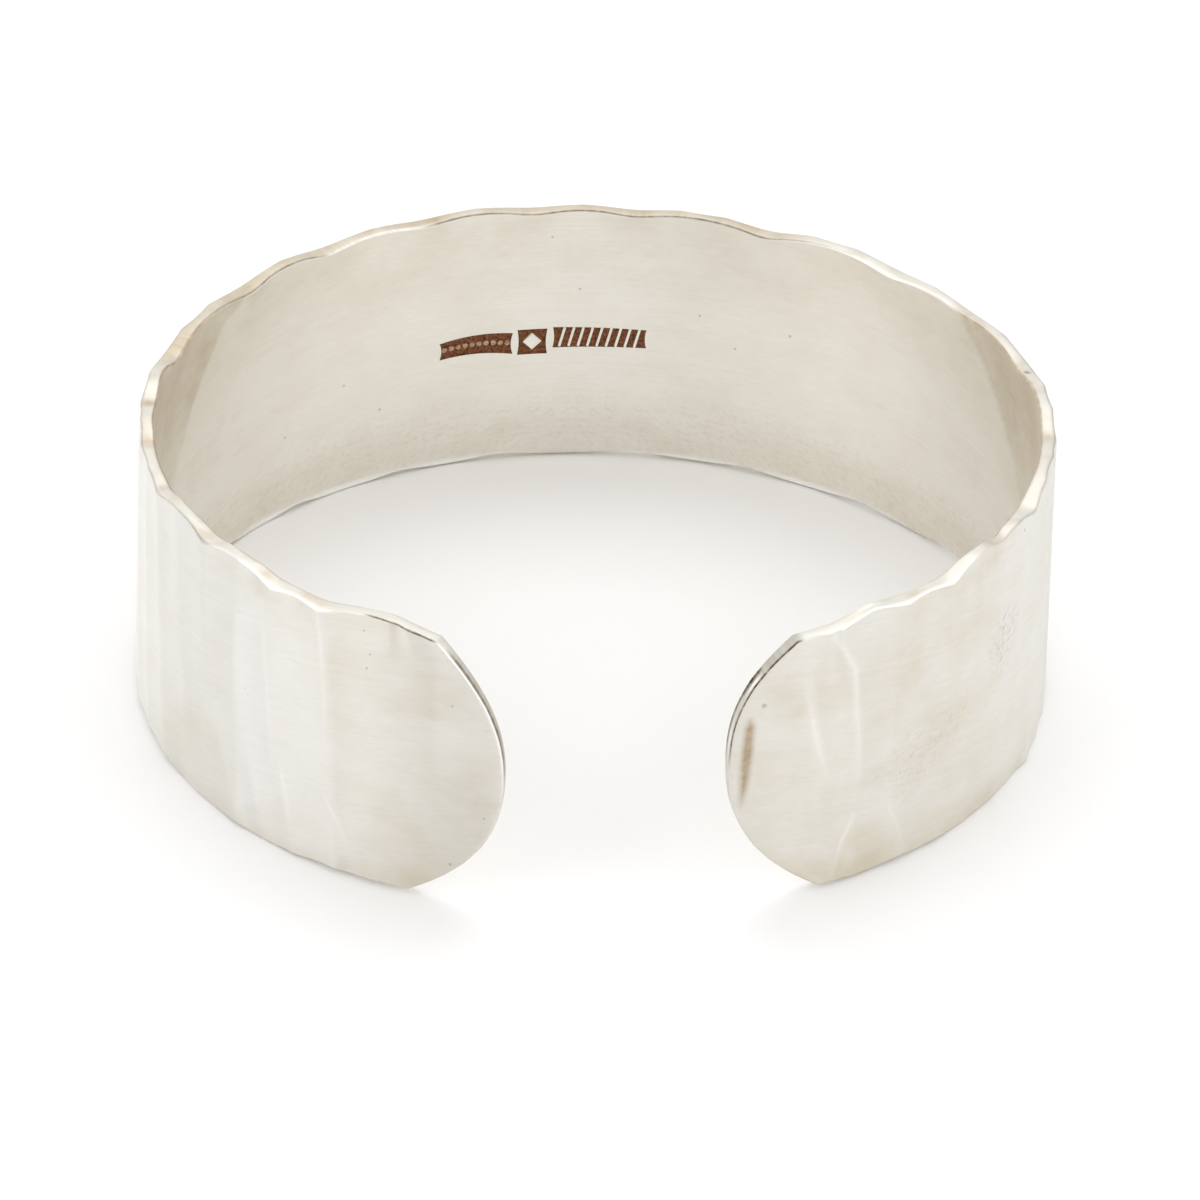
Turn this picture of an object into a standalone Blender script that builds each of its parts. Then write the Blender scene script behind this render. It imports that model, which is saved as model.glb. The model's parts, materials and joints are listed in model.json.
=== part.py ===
"""A hammered silver cuff bracelet, lying on its side the way it rests on a table.

The cuff is one strip of sheet metal bent to an oval, with its opening towards -Y and its
band standing up along +Z.  The outer face is dressed with long hammer blows that run across
the band and leave soft ridges between them.  Each ridge ends in a nick in the top edge and
another in the foot edge, and both edges swell between the nicks.  The inner face is smooth.
The origin is at the middle of the bounding box, on the surface that the cuff lies on.
"""

import math
from collections import namedtuple

import bmesh
import bpy
import numpy as np

MM = 0.001

# Driving sizes of the strip and of the oval it is bent to
OVAL_WIDTH = 60.0 * MM      # outside, from side to side
OVAL_DEPTH = 56.0 * MM      # outside, from the back to where the oval would close in front
BAND_WIDTH = 20.0 * MM      # nominal width of the strip, upright as the cuff lies
WALL = 1.0 * MM             # thickness of the sheet
OPENING = 13.9 * MM         # straight across, from tip to tip
FOOT_FLARE = 0.3 * MM       # how far the foot of the wall leans out past its top edge

# Driving sizes of the hammering
BLOW_WIDTH = 3.4 * MM       # usual width of one blow, measured along the band
BLOW_DEPTH = 0.10 * MM      # how far the middle of a blow is sunk below the smooth oval
RIM_REACH = 0.7 * MM        # how far down each face the thickening of the rim fades out
EDGE_BREAK = 0.12 * MM      # width of the filed corner between a face and the rim

SPAN_RIM = 0.85             # rim thickness midway between two ridges, as a share of WALL
SPAN_FADE = 0.5             # how much lower the ridges midway between two nicks stand
TIP_BLOWS = 2               # blows from the last ridge to the end of a tip
NICK_SHARPNESS = 2.4        # 2 gives round scallops, more gives flatter ones with sharp nicks
SHARP = math.radians(35)    # edges that turn more than this are shaded as corners

FACE_ROWS = 16              # rows of faces up the band
TIP_COLUMNS = 6             # columns of faces from the last ridge to the end of a tip
TIP_EASE = 0.72             # below 1 these blows widen towards the end of the tip

# One row for each ridge, from the left tip round the back to the right tip.
# at_*: where the ridge crosses the top edge, the middle and the foot edge, as a share of the
#   half length from the back (0) to a tip (-1 or 1).
# top, foot: height of the edge at the ridge, and *_swell: midway to the next ridge, as shares
#   of BAND_WIDTH.  A foot swell below zero is worn flat where the cuff stands on it.
# rim: thickness of the rim at the ridge, and crest: how proud the ridge is, as shares of WALL.
Ridge = namedtuple(
    "Ridge", "at_top at_mid at_foot top top_swell foot foot_swell rim crest"
)
RIDGES = [
    Ridge(-0.906, -0.906, -0.900, 1.016, 1.010, 0.015, 0.012, 1.00, 0.04),
    Ridge(-0.845, -0.857, -0.863, 0.975, 0.990, 0.015, 0.007, 1.15, 0.08),
    Ridge(-0.800, -0.800, -0.828, 0.978, 1.008, 0.010, 0.000, 1.25, 0.08),
    Ridge(-0.720, -0.728, -0.767, 0.983, 1.003, 0.008, -0.006, 1.25, 0.10),
    Ridge(-0.635, -0.645, -0.659, 0.960, 0.978, 0.022, 0.012, 1.15, 0.05),
    Ridge(-0.565, -0.567, -0.582, 0.965, 0.998, 0.020, 0.005, 0.95, 0.05),
    Ridge(-0.509, -0.504, -0.501, 0.983, 1.013, 0.020, 0.005, 1.10, 0.06),
    Ridge(-0.436, -0.430, -0.420, 0.962, 0.993, 0.020, 0.005, 1.30, 0.07),
    Ridge(-0.309, -0.327, -0.343, 0.968, 1.000, 0.015, -0.006, 1.25, 0.06),
    Ridge(-0.223, -0.235, -0.253, 0.975, 1.000, 0.022, -0.006, 1.20, 0.06),
    Ridge(-0.131, -0.138, -0.150, 0.983, 1.003, 0.020, 0.002, 1.15, 0.05),
    Ridge(-0.036, -0.048, -0.064, 0.980, 0.995, 0.025, 0.006, 1.15, 0.06),
    Ridge(0.047, 0.048, 0.052, 0.973, 0.990, 0.030, 0.008, 1.10, 0.05),
    Ridge(0.160, 0.153, 0.150, 0.958, 0.993, 0.027, 0.002, 1.20, 0.06),
    Ridge(0.279, 0.270, 0.259, 0.968, 0.983, 0.029, 0.003, 1.20, 0.05),
    Ridge(0.364, 0.359, 0.355, 0.973, 0.993, 0.025, 0.010, 0.85, 0.06),
    Ridge(0.463, 0.461, 0.457, 0.978, 1.013, 0.018, -0.006, 1.10, 0.05),
    Ridge(0.570, 0.565, 0.568, 0.982, 1.010, 0.012, -0.004, 1.00, 0.06),
    Ridge(0.676, 0.671, 0.674, 0.972, 0.998, 0.004, -0.006, 1.35, 0.07),
    Ridge(0.730, 0.733, 0.739, 0.983, 1.015, 0.004, -0.006, 0.85, 0.05),
    Ridge(0.798, 0.805, 0.812, 0.978, 0.993, 0.012, 0.000, 1.25, 0.05),
    Ridge(0.847, 0.856, 0.848, 0.988, 1.013, 0.017, 0.000, 1.10, 0.07),
    Ridge(0.910, 0.893, 0.895, 0.980, 0.980, 0.010, 0.010, 0.95, 0.10),
]

# The rounded outline of each tip.  peak: the height of its furthest point, as a share of the
# band's height there.  top, foot: heights where the outline meets the edges, and *_reach: how
# far back from the tip that is, as shares of BAND_WIDTH.  *_power: 2 makes an elliptical
# corner, more makes a squarer one.
Tip = namedtuple("Tip", "side peak top foot top_reach top_power foot_reach foot_power")
TIPS = [
    Tip(-1, 0.51, 0.977, 0.020, 0.225, 2.05, 0.300, 2.7),
    Tip(1, 0.56, 0.973, 0.014, 0.220, 2.6, 0.320, 2.5),
]


class Oval:
    """The middle of the wall, seen from above, read by distance along it from the back."""

    SAMPLES = 7201

    def __init__(self):
        self.half_width = (OVAL_WIDTH - WALL) / 2
        self.half_depth = (OVAL_DEPTH - WALL) / 2
        self.turn = np.linspace(-math.pi, math.pi, self.SAMPLES)
        x = self.half_width * np.sin(self.turn)
        y = self.half_depth * np.cos(self.turn)
        steps = np.hypot(np.diff(x), np.diff(y))
        self.distance = np.concatenate([[0.0], np.cumsum(steps)])
        self.distance -= self.distance[self.SAMPLES // 2]

    def half_length(self):
        """Distance along the wall from the back to a tip."""
        tip_turn = math.pi - math.asin(OPENING / 2 / self.half_width)
        return float(np.interp(tip_turn, self.turn, self.distance))

    def point(self, distance, height, offset):
        """A point that stands off the middle of the wall by offset, positive outwards."""
        turn = np.interp(distance, self.distance, self.turn)
        normal_x = self.half_depth * math.sin(turn)
        normal_y = self.half_width * math.cos(turn)
        length = math.hypot(normal_x, normal_y)
        stand = offset + FOOT_FLARE * (1 - height / BAND_WIDTH)
        x = self.half_width * math.sin(turn) + normal_x / length * stand
        y = self.half_depth * math.cos(turn) + normal_y / length * stand
        return (x, y, height)


def through(foot, mid, top, level):
    """A smooth curve through its values at the foot (0), the middle (0.5) and the top (1)."""
    at_foot = foot * (1 - level) * (1 - 2 * level)
    at_mid = mid * 4 * level * (1 - level)
    at_top = top * level * (2 * level - 1)
    return at_foot + at_mid + at_top


def scallop(start, swell, end, along):
    """Height of an edge between two nicks, swelling to its own value midway."""
    chord = start + (end - start) * along
    arch = 1 - abs(2 * along - 1) ** NICK_SHARPNESS
    return chord + (swell - (start + end) / 2) * arch


# A column is one line of points across the band.  place gives its distance along the band at
# a level from 0 to 1, rim its rim thickness and relief how far the outer face is raised.
Column = namedtuple("Column", "place top foot rim relief")


def levels():
    """Levels up the band from 0 to 1, closer together near both edges."""
    return [(1 - math.cos(math.pi * k / FACE_ROWS)) / 2 for k in range(FACE_ROWS + 1)]


def ridge_place(ridge, half_length):
    def place(level):
        return half_length * through(ridge.at_foot, ridge.at_mid, ridge.at_top, level)

    return place


def between(place_a, place_b, along):
    def place(level):
        return place_a(level) + (place_b(level) - place_a(level)) * along

    return place


def span_columns(ridge, following, half_length):
    """Columns from one ridge up to, but not including, the next."""
    start = ridge_place(ridge, half_length)
    end = ridge_place(following, half_length)
    blows = max(1, round((end(0.5) - start(0.5)) / BLOW_WIDTH))
    steps = 2 * blows
    columns = []
    for step in range(steps):
        along = step / steps
        top = scallop(ridge.top, ridge.top_swell, following.top, along)
        foot = scallop(ridge.foot, ridge.foot_swell, following.foot, along)
        midway = 1 - abs(2 * along - 1)
        ends_rim = ridge.rim + (following.rim - ridge.rim) * along
        rim = ends_rim + (SPAN_RIM - ends_rim) * midway
        crest = ridge.crest + (following.crest - ridge.crest) * along
        proud = math.cos(math.pi * blows * along) ** 2
        fade = 1 - SPAN_FADE * midway
        relief = crest * WALL * fade * proud - BLOW_DEPTH * (1 - proud)
        columns.append(
            Column(
                between(start, end, along),
                BAND_WIDTH * top,
                BAND_WIDTH * max(foot, 0.0),
                WALL * rim,
                relief,
            )
        )
    return columns


def tip_place(tip, half_length):
    def place(level):
        if level > tip.peak:
            share = (level - tip.peak) / (1 - tip.peak)
            setback = tip.top_reach * share**tip.top_power
        else:
            share = (tip.peak - level) / tip.peak
            setback = tip.foot_reach * share**tip.foot_power
        return tip.side * (half_length - BAND_WIDTH * setback)

    return place


def tip_columns(tip, ridge, half_length):
    """Columns from the last ridge out to the end of a tip, without the ridge's own."""
    start = ridge_place(ridge, half_length)
    end = tip_place(tip, half_length)
    columns = []
    for step in range(1, TIP_COLUMNS + 1):
        along = step / TIP_COLUMNS
        top = ridge.top + (tip.top - ridge.top) * along
        foot = ridge.foot + (tip.foot - ridge.foot) * along
        fade = 1 - along
        proud = math.cos(math.pi * TIP_BLOWS * along**TIP_EASE) ** 2
        columns.append(
            Column(
                between(start, end, along),
                BAND_WIDTH * top,
                BAND_WIDTH * foot,
                WALL * ridge.rim,
                (ridge.crest * WALL * proud - BLOW_DEPTH * (1 - proud)) * fade,
            )
        )
    return columns


def all_columns(half_length):
    left, right = TIPS
    columns = tip_columns(left, RIDGES[0], half_length)[::-1]
    for ridge, following in zip(RIDGES, RIDGES[1:]):
        columns += span_columns(ridge, following, half_length)
    last = RIDGES[-1]
    columns.append(
        Column(
            ridge_place(last, half_length),
            BAND_WIDTH * last.top,
            BAND_WIDTH * max(last.foot, 0.0),
            WALL * last.rim,
            last.crest * WALL,
        )
    )
    return columns + tip_columns(right, last, half_length)


def unrolled(columns):
    """The band laid flat: a grid of (distance along, height) pairs, column by column."""
    grid = []
    for column in columns:
        rise = column.top - column.foot
        grid.append([(column.place(level), column.foot + rise * level) for level in levels()])
    return grid


def boundary(grid):
    """The entries round the edge of a grid: foot, right tip, top, left tip."""
    foot = [line[0] for line in grid]
    right = grid[-1][1:]
    top = [line[-1] for line in grid[-2::-1]]
    left = grid[0][-2:0:-1]
    return foot + right + top + left


def filed_back(outline):
    """The outline of the flat band, moved in by the width of the filed corner."""
    inset = []
    for i, (distance, height) in enumerate(outline):
        before = outline[i - 1]
        after = outline[(i + 1) % len(outline)]
        along = after[0] - before[0]
        up = after[1] - before[1]
        length = math.hypot(along, up)
        inset.append(
            (distance - EDGE_BREAK * up / length, height + EDGE_BREAK * along / length)
        )
    return inset


def stand_off(column, height, side):
    """How far a face stands off the middle of the wall, positive outwards."""
    edge = max(min(height - column.foot, column.top - height), 0.0)
    thickening = (column.rim - WALL) / 2 * math.exp(-((edge / RIM_REACH) ** 2))
    offset = side * (WALL / 2 + thickening)
    if side > 0:
        offset += column.relief
    return offset


def face_grid(mesh, oval, columns, flat, side):
    """Points of the outer face (side 1) or of the inner face (side -1)."""
    indices = [[(c, k) for k in range(FACE_ROWS + 1)] for c in range(len(columns))]
    filed = dict(zip(boundary(indices), filed_back(boundary(flat))))
    grid = []
    for c, column in enumerate(columns):
        line = []
        for k in range(FACE_ROWS + 1):
            distance, height = filed.get((c, k), flat[c][k])
            offset = stand_off(column, height, side)
            line.append(mesh.verts.new(oval.point(distance, height, offset)))
        grid.append(line)
    return grid


def rim_loop(mesh, oval, columns, flat, side):
    """The corner of the flat rim next to one face, all the way round the band."""
    owners = [[column] * (FACE_ROWS + 1) for column in columns]
    loop = []
    for column, (distance, height) in zip(boundary(owners), boundary(flat)):
        offset = stand_off(column, height, side) - side * EDGE_BREAK
        loop.append(mesh.verts.new(oval.point(distance, height, offset)))
    return loop


def skin(mesh, grid):
    for line, following in zip(grid, grid[1:]):
        for k in range(FACE_ROWS):
            mesh.faces.new((line[k], following[k], following[k + 1], line[k + 1]))


def join(mesh, loop, other):
    """A closed strip of faces between two loops of as many points."""
    for i in range(len(loop)):
        j = (i + 1) % len(loop)
        mesh.faces.new((loop[i], other[i], other[j], loop[j]))


def set_on_table(mesh):
    """Move the cuff so that the middle of its box is at the origin and its foot at zero."""
    places = np.array([vert.co[:] for vert in mesh.verts])
    low = places.min(axis=0)
    high = places.max(axis=0)
    shift = (-(low[0] + high[0]) / 2, -(low[1] + high[1]) / 2, -low[2])
    bmesh.ops.translate(mesh, vec=shift, verts=mesh.verts)


def silver():
    material = bpy.data.materials.new("silver")
    material.use_nodes = True
    shader = material.node_tree.nodes["Principled BSDF"]
    shader.inputs["Base Color"].default_value = (0.80, 0.78, 0.75, 1.0)
    shader.inputs["Metallic"].default_value = 1.0
    shader.inputs["Roughness"].default_value = 0.38
    return material


def make_cuff():
    oval = Oval()
    columns = all_columns(oval.half_length())
    flat = unrolled(columns)
    mesh = bmesh.new()
    outer = face_grid(mesh, oval, columns, flat, 1)
    inner = face_grid(mesh, oval, columns, flat, -1)
    outer_rim = rim_loop(mesh, oval, columns, flat, 1)
    inner_rim = rim_loop(mesh, oval, columns, flat, -1)
    skin(mesh, outer)
    skin(mesh, inner)
    join(mesh, boundary(outer), outer_rim)
    join(mesh, outer_rim, inner_rim)
    join(mesh, inner_rim, boundary(inner))
    bmesh.ops.recalc_face_normals(mesh, faces=mesh.faces)
    set_on_table(mesh)
    data = bpy.data.meshes.new("cuff")
    mesh.to_mesh(data)
    mesh.free()
    data.shade_smooth()
    data.set_sharp_from_angle(angle=SHARP)
    data.materials.append(silver())
    cuff = bpy.data.objects.new("cuff", data)
    bpy.context.scene.collection.objects.link(cuff)


for old in list(bpy.data.objects):
    bpy.data.objects.remove(old, do_unlink=True)
make_cuff()
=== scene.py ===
# %% [markdown]
# A hammered silver cuff
#
# This notebook dresses a plain solid of a cuff bracelet so that it looks like worked silver.
# The solid comes from the frame and is never touched. A copy of it is smoothed, hammered,
# stamped and tarnished, given painted light, shade and highlights, and then stands in for it.
# Read the cells in order.

# %% Load the solid
import json
import math
from collections import namedtuple

import bmesh
import bpy
import numpy as np
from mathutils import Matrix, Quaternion, Vector, noise

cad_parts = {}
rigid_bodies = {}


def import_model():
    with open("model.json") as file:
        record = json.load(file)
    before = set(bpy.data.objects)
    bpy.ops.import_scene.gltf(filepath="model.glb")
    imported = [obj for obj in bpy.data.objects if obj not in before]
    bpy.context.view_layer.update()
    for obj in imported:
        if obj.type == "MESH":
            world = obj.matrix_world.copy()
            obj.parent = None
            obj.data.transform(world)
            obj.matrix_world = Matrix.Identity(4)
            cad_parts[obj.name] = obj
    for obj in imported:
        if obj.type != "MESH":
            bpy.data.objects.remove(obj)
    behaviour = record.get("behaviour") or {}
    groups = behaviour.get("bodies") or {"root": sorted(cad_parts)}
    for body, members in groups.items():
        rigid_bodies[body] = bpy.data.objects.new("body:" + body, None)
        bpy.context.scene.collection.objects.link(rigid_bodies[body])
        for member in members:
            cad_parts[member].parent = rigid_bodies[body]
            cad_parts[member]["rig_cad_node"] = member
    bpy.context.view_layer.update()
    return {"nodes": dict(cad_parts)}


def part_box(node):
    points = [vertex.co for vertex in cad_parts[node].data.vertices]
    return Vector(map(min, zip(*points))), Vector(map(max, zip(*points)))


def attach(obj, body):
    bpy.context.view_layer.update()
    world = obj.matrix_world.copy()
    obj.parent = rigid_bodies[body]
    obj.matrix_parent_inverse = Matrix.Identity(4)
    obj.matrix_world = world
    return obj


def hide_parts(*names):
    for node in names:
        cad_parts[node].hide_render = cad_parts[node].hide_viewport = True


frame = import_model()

MM = 0.001
low, high = (Vector(corner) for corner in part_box("cuff"))
print("solid, mm:", [round(side / MM, 2) for side in high - low])

# %% [markdown]
# The camera
#
# The picture was taken from a good half metre away with a long lens, so the far side of the
# oval is hardly smaller than the near side. The view looks down by a third of a right angle,
# a little from the left, and the camera was not quite level. A camera is placed by the point
# that it looks at, two angles and a distance, which are easier to judge than coordinates.

# %% Place the camera
AIM = Vector((0.04, -6.98, 10.03)) * MM
ELEVATION = math.radians(33.0)
AZIMUTH = math.radians(-3.86)
ROLL = math.radians(1.70)
DISTANCE = 561.3 * MM
SENSOR = 36.0
LENS = 257.35

back_off = Vector(
    (
        math.sin(AZIMUTH) * math.cos(ELEVATION),
        -math.cos(AZIMUTH) * math.cos(ELEVATION),
        math.sin(ELEVATION),
    )
)
bpy.ops.object.camera_add(location=AIM + back_off * DISTANCE)
camera = bpy.context.object
camera.rotation_mode = "QUATERNION"
level = (-back_off).to_track_quat("-Z", "Y")
camera.rotation_quaternion = level @ Quaternion((0, 0, 1), ROLL)
camera.data.sensor_width = SENSOR
camera.data.lens = LENS
camera.data.clip_start = 0.01
camera.data.clip_end = 20
bpy.context.scene.camera = camera
bpy.context.scene.view_settings.view_transform = "Standard"
print("camera at, mm:", [round(x / MM, 1) for x in camera.location])

# %% [markdown]
# A helper for nodes
#
# The room and every finish are made of shader nodes. Adding a node, filling its sockets and
# linking its result is always the same work, so one small class does it, and the cells below
# only say which nodes they want.

# %% Make the node helper
class Nodes:
    """Adds nodes to a shader tree. Each call returns the socket that holds the result."""

    def __init__(self, tree):
        self.tree = tree

    def fill(self, socket, value):
        if isinstance(value, bpy.types.NodeSocket):
            self.tree.links.new(value, socket)
        else:
            socket.default_value = value

    def add(self, kind, *values, result=0, **settings):
        node = self.tree.nodes.new("ShaderNode" + kind)
        for name, setting in settings.items():
            setattr(node, name, setting)
        for socket, value in zip(node.inputs, values):
            self.fill(socket, value)
        return node.outputs[result]

    def math(self, operation, first, second):
        return self.add("Math", first, second, operation=operation)

    def spread(self, value, low_in, high_in, low_out, high_out):
        """Stretch a range of values to another one, and clamp what lies past its ends."""
        return self.add("MapRange", value, low_in, high_in, low_out, high_out)

    def mix(self, share, first, second):
        node = self.tree.nodes.new("ShaderNodeMix")
        node.data_type = "RGBA"
        for place, value in zip((0, 6, 7), (share, first, second)):
            self.fill(node.inputs[place], value)
        return node.outputs[2]


print("nodes are added by", Nodes.__name__)

# %% [markdown]
# The table and the light
#
# Satin silver shows what stands around it, so the light is part of the finish. A wide white
# table and a pale room give the metal something white to mirror. One large soft box hangs
# above and behind the cuff, which is why the shadow falls forward, inside the oval. Paler and
# darker cards stand round the table. Each facet of the hammered face mirrors another card,
# which makes the facets show; painted shade and painted light laid on the facets add to it.

# %% Lay the table and hang the lights
TABLE_SIDE = 6.0


def table_white():
    material = bpy.data.materials.new("table_white")
    material.use_nodes = True
    shader = material.node_tree.nodes["Principled BSDF"]
    shader.inputs["Base Color"].default_value = (0.915, 0.915, 0.92, 1)
    shader.inputs["Roughness"].default_value = 0.9
    shader.inputs["Specular IOR Level"].default_value = 0.2
    return material


bpy.ops.mesh.primitive_plane_add(size=TABLE_SIDE)
table = bpy.context.object
table.name = "table"
table.data.materials.append(table_white())


def soft_box(name, place, aim, width, height, energy):
    """A rectangular light that faces a point."""
    bpy.ops.object.light_add(type="AREA", location=place)
    lamp = bpy.context.object
    lamp.name = name
    lamp.data.shape = "RECTANGLE"
    lamp.data.size = width
    lamp.data.size_y = height
    lamp.data.energy = energy
    lamp.rotation_mode = "QUATERNION"
    lamp.rotation_quaternion = (Vector(aim) - Vector(place)).to_track_quat("-Z", "Y")
    return lamp


soft_box("overhead", (0.05, 0.35, 0.75), (0, 0, 0), 0.7, 0.5, 1.95)
soft_box("left_box", (-0.50, -0.22, 0.34), (0, 0, 0.01), 0.5, 0.4, 0.80)
soft_box("right_box", (0.50, -0.22, 0.34), (0, 0, 0.01), 0.5, 0.4, 0.48)
soft_box("front_box", (0.0, -0.60, 0.30), (0, 0, 0.01), 0.5, 0.3, 0.56)
print("soft boxes:", [thing.name for thing in bpy.data.objects if thing.type == "LIGHT"])

# %% Stand the cards round the table
ROOM_TINT = (1.0, 0.995, 0.985, 1)
CARD_TOP = 0.75             # sine of the angle above which the room is even
CEILING = 0.79
Card = namedtuple("Card", "bearing light")
CARDS = [                   # bearing in degrees to the right of straight ahead
    Card(-180, 0.66),
    Card(-155, 1.77),
    Card(-132, 1.70),
    Card(-100, 1.14),
    Card(-78, 0.94),
    Card(-50, 0.82),
    Card(0, 0.02),
    Card(42, 1.86),
    Card(66, 0.72),
    Card(92, 1.60),
    Card(125, 1.40),
    Card(155, 0.18),
    Card(180, 0.66),
]


def grey(light):
    return (light, light, light, 1)


def card_ring(nodes, bearing):
    """How bright the ring of cards is in each direction."""
    ring = nodes.tree.nodes.new("ShaderNodeValToRGB")
    stops = ring.color_ramp.elements
    stops[0].color = grey(CARDS[0].light)
    stops[1].color = grey(CARDS[-1].light)
    for card in CARDS[1:-1]:
        stop = stops.new(card.bearing / 360 + 0.5)
        stop.color = grey(card.light)
    nodes.fill(ring.inputs["Fac"], nodes.spread(bearing, -math.pi, math.pi, 0.0, 1.0))
    return ring.outputs["Color"]


def pale_room():
    """A white room with paler and darker cards standing round the table."""
    room = bpy.data.worlds.new("room")
    room.use_nodes = True
    nodes = Nodes(room.node_tree)
    split = nodes.tree.nodes.new("ShaderNodeSeparateXYZ")
    nodes.fill(split.inputs[0], nodes.add("TexCoord"))
    right, forward, up = split.outputs
    bearing = nodes.math("ARCTAN2", right, nodes.math("MULTIPLY", forward, -1.0))
    above = nodes.spread(up, 0.0, CARD_TOP, 0.0, 1.0)
    light = nodes.mix(above, card_ring(nodes, bearing), grey(CEILING))
    background = nodes.tree.nodes["Background"]
    background.inputs["Color"].default_value = ROOM_TINT
    nodes.fill(background.inputs["Strength"], light)
    return room


bpy.context.scene.world = pale_room()
print("cards:", len(CARDS) - 1)

# %% [markdown]
# A ruler along the strip
#
# A cuff is a flat strip that has been bent to an oval. The smith works on the strip, so the
# marks are placed the same way: by how far along the strip they are from the back, and how
# high above the foot. This ruler turns such a place into a point on the oval, and back.

# %% Make the ruler
HALF_WIDTH = 29.5 * MM      # of the middle of the wall
HALF_DEPTH = 27.5 * MM
BAND = 20.0 * MM
FLARE = 0.3 * MM            # the foot leans out this far past the top edge
CENTRE_Y = -0.541 * MM      # the oval's own middle, in the frame
RULER_POINTS = 7201
ROUNDS = 4                  # of walking to the nearest place on the oval

turns = np.linspace(-math.pi, math.pi, RULER_POINTS)
oval_x = HALF_WIDTH * np.sin(turns)
oval_y = HALF_DEPTH * np.cos(turns)
steps = np.hypot(np.diff(oval_x), np.diff(oval_y))
marks = np.concatenate([[0], np.cumsum(steps)])
marks -= marks[len(marks) // 2]


def strip_place(points):
    """(along, height, offset from the middle of the wall) of points in the frame."""
    x = points[:, 0]
    y = points[:, 1] - CENTRE_Y
    turn = np.arctan2(x / HALF_WIDTH, y / HALF_DEPTH)
    for _ in range(ROUNDS):
        foot = np.stack([HALF_WIDTH * np.sin(turn), HALF_DEPTH * np.cos(turn)], 1)
        run = np.stack([HALF_WIDTH * np.cos(turn), -HALF_DEPTH * np.sin(turn)], 1)
        gap = np.stack([x, y], 1) - foot
        turn = turn + (gap * run).sum(1) / (run * run).sum(1)
    foot = np.stack([HALF_WIDTH * np.sin(turn), HALF_DEPTH * np.cos(turn)], 1)
    along = np.interp(turn, turns, marks)
    offset = ((np.stack([x, y], 1) - foot) * outward(along)).sum(1)
    offset -= FLARE * (1 - points[:, 2] / BAND)
    return along, points[:, 2], offset


def outward(along):
    """Unit vectors out of the oval at distances along the strip."""
    turn = np.interp(along, marks, turns)
    out = np.stack([np.sin(turn) / HALF_WIDTH, np.cos(turn) / HALF_DEPTH], 1)
    return out / np.linalg.norm(out, axis=1, keepdims=True)


def oval_point(along, height, offset):
    """The point in the frame that lies there on the strip."""
    turn = float(np.interp(along, marks, turns))
    out = Vector((*outward(np.array([along]))[0], 0))
    foot = Vector((HALF_WIDTH * math.sin(turn), HALF_DEPTH * math.cos(turn) + CENTRE_Y, height))
    return foot + out * (offset + FLARE * (1 - height / BAND))


print("once round the oval, mm:", round((marks[-1] - marks[0]) / MM, 1))

# %% [markdown]
# The smooth skin
#
# The solid has the right shape in flat facets. A copy is welded, because the frame's mesh is
# loose triangles, and turned back into four-sided faces, which subdivide evenly. Subdivision
# alone would melt the ridges, so the edges where two blows meet are found by their angle and
# given a crease: they stay firm while the hollows between them turn round.

# %% Copy, weld and subdivide
RIDGE_ANGLE = math.radians(5)
RIDGE_CREASE = 0.7
CORNER_ANGLE = math.radians(30)
CORNER_CREASE = 0.25
STEEP = 0.3                 # share of an edge's length that it has to rise to run up the band
WELD = 0.001 * MM
LEVELS = 2


def only(piece):
    """Select one piece alone and make it the active one."""
    bpy.ops.object.select_all(action="DESELECT")
    piece.select_set(True)
    bpy.context.view_layer.objects.active = piece


def apply_all(piece):
    only(piece)
    for modifier in list(piece.modifiers):
        bpy.ops.object.modifier_apply(modifier=modifier.name)


only(frame["nodes"]["cuff"])
bpy.ops.object.duplicate()
cuff = bpy.context.object
cuff.name = "silver_cuff"
cuff.data.name = "silver_cuff"
cuff.parent = None
del cuff["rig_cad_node"]
cuff.data.materials.clear()

bpy.ops.object.mode_set(mode="EDIT")
bpy.ops.mesh.select_all(action="SELECT")
bpy.ops.mesh.remove_doubles(threshold=WELD)
bpy.ops.mesh.tris_convert_to_quads()
bpy.ops.object.mode_set(mode="OBJECT")
corners = [len(face.vertices) for face in cuff.data.polygons]
print("welded:", corners.count(4), "quads and", corners.count(3), "triangles")


def crease_ridges(piece):
    """Hold the convex edges that run up the band, and the corners a little."""
    work = bmesh.new()
    work.from_mesh(piece.data)
    crease = work.edges.layers.float.new("crease_edge")
    for edge in work.edges:
        angle = edge.calc_face_angle_signed(0)
        rise = abs(edge.verts[0].co.z - edge.verts[1].co.z)
        if angle > CORNER_ANGLE:
            edge[crease] = CORNER_CREASE
        elif angle > RIDGE_ANGLE and rise > STEEP * edge.calc_length():
            edge[crease] = RIDGE_CREASE
    held = sum(1 for edge in work.edges if edge[crease] == RIDGE_CREASE)
    work.to_mesh(piece.data)
    work.free()
    return held


print("ridge edges held firm:", crease_ridges(cuff))
smooth = cuff.modifiers.new("smooth", "SUBSURF")
smooth.levels = LEVELS
smooth.render_levels = LEVELS
apply_all(cuff)
print("skin:", len(cuff.data.polygons), "faces")

# %% [markdown]
# Hammer marks
#
# The solid has the long blows. The real face also has smaller facets, where a second blow
# overlapped the first and left a short crest, and a slight unevenness all over, which makes
# the light waver. Both are shallow, so the points of the outer face are moved straight out by
# a few hundredths of a millimetre. A crest is sharp on top and runs out softly at its feet.

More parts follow.
